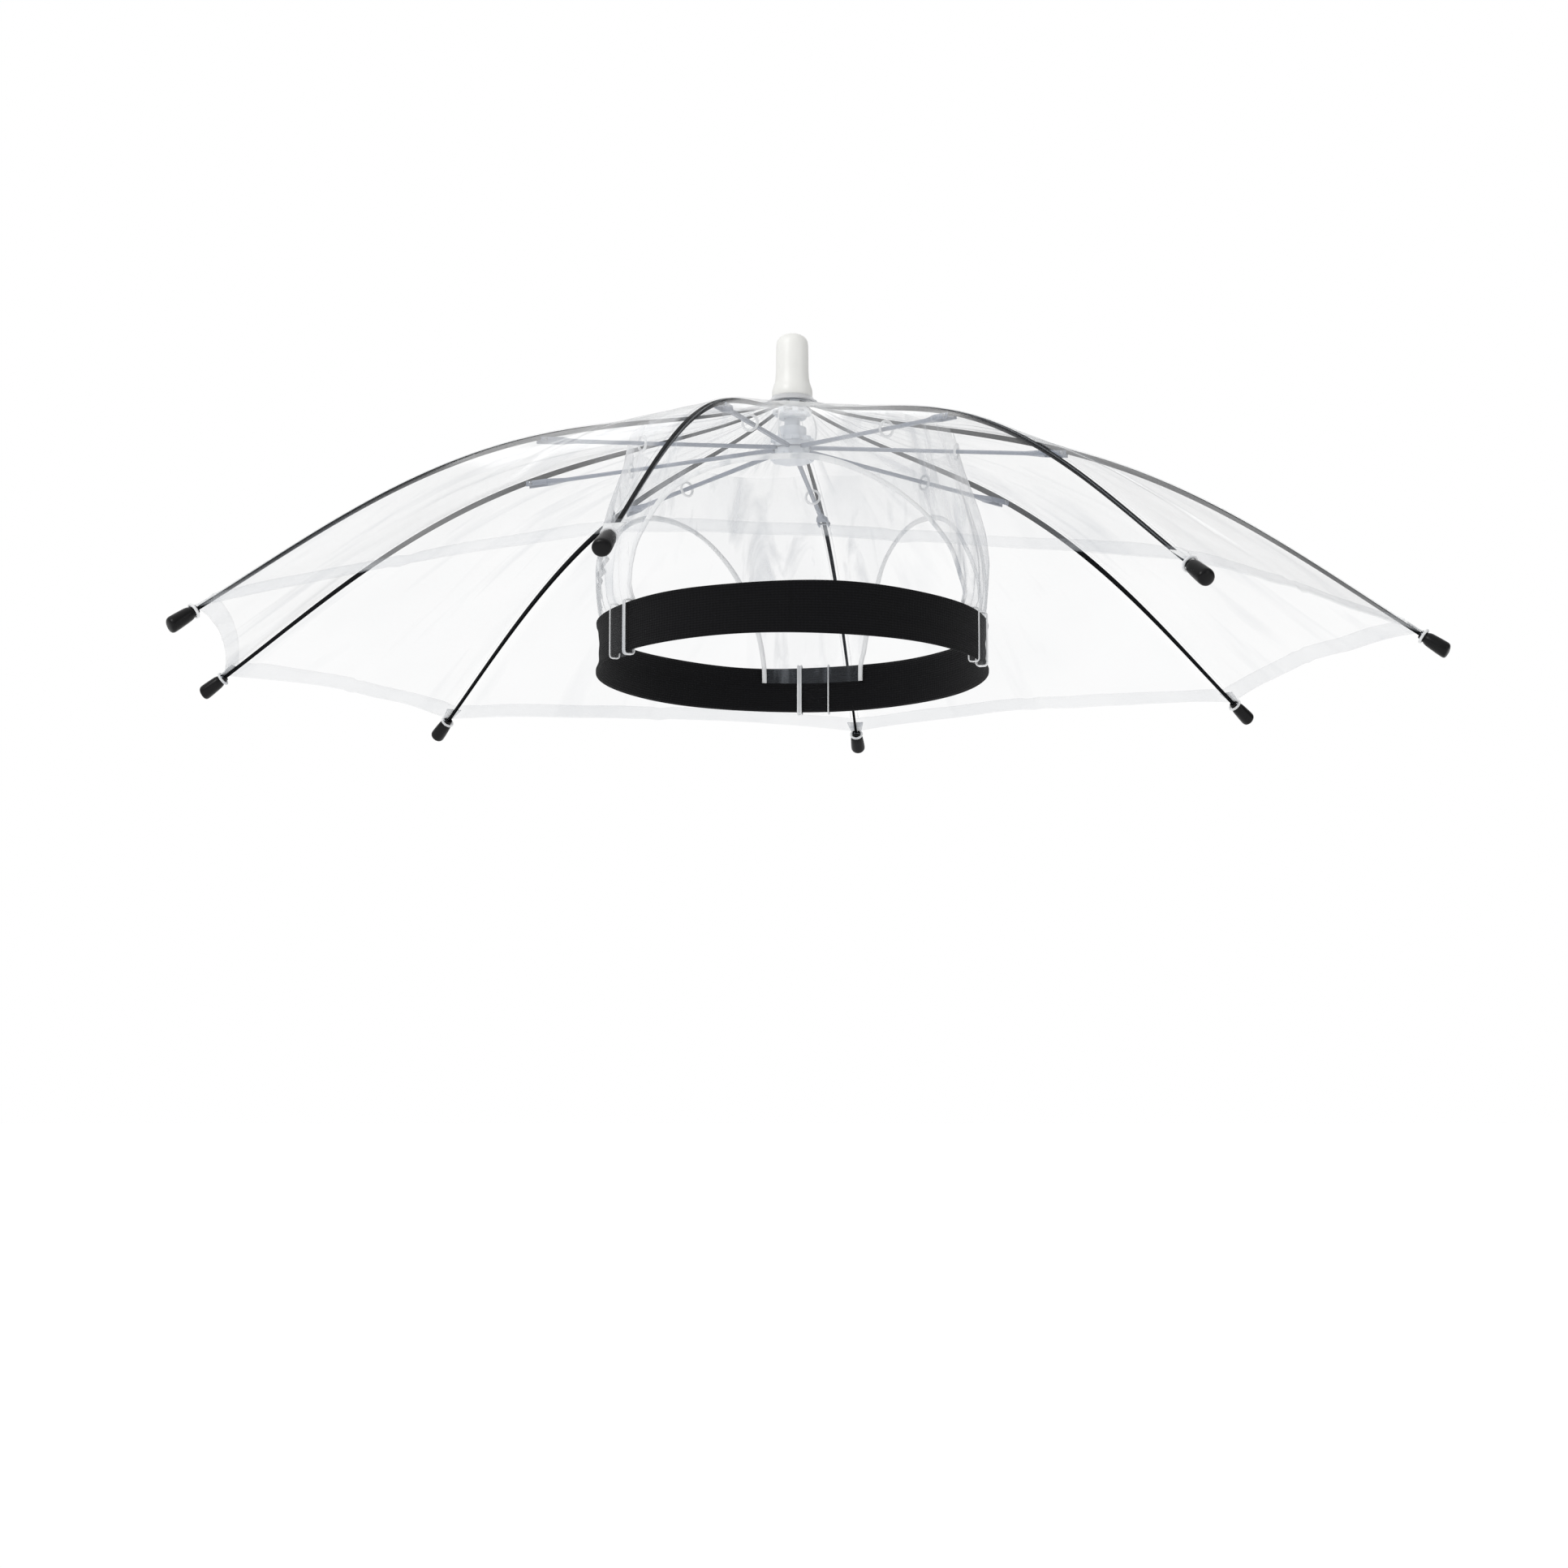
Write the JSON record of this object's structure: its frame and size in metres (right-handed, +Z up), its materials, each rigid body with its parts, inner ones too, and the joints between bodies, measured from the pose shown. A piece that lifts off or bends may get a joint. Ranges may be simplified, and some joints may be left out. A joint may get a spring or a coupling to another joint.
{
  "type": "umbrella hat",
  "caption": "Hands-free umbrella hat with a clear film canopy on black ribs, an inner film skirt and a black elastic headband.",
  "frame": {"origin": "middle of the headband's opening, at the band's mid height, on the axis of the canopy and pole", "axes": "+Z up along the pole, -Y the way the wearer faces, +X to the wearer's left"},
  "size_m": [0.5651, 0.5762, 0.165],
  "materials": {
    "clear_film": "clear, slightly milky film",
    "white_plastic": "satin",
    "milky_plastic": "translucent satin",
    "black_steel": "satin",
    "black_plastic": "matte",
    "blue_plastic": "translucent satin",
    "black_elastic": "woven"
  },
  "bodies": {
    "root": {"canopy": "clear_film", "pole": "milky_plastic", "finial": "white_plastic", "top_washer": "clear_film", "top_notch": "milky_plastic", "runner": "milky_plastic", "rib_1": "black_steel", "rib_2": "black_steel", "rib_3": "black_steel", "rib_4": "black_steel", "rib_5": "black_steel", "rib_6": "black_steel", "rib_7": "black_steel", "rib_8": "black_steel", "tip_cap_1": "black_plastic", "tip_cap_2": "black_plastic", "tip_cap_3": "black_plastic", "tip_cap_4": "black_plastic", "tip_cap_5": "black_plastic", "tip_cap_6": "black_plastic", "tip_cap_7": "black_plastic", "tip_cap_8": "black_plastic", "eyelet_1": "clear_film", "eyelet_2": "clear_film", "eyelet_3": "clear_film", "eyelet_4": "clear_film", "eyelet_5": "clear_film", "eyelet_6": "clear_film", "eyelet_7": "clear_film", "eyelet_8": "clear_film", "stretcher_1": "blue_plastic", "stretcher_2": "blue_plastic", "stretcher_3": "blue_plastic", "stretcher_4": "blue_plastic", "stretcher_5": "blue_plastic", "stretcher_6": "blue_plastic", "stretcher_7": "blue_plastic", "stretcher_8": "blue_plastic", "headband": "black_elastic", "inner_skirt": "clear_film"}
  },
  "joints": []
}
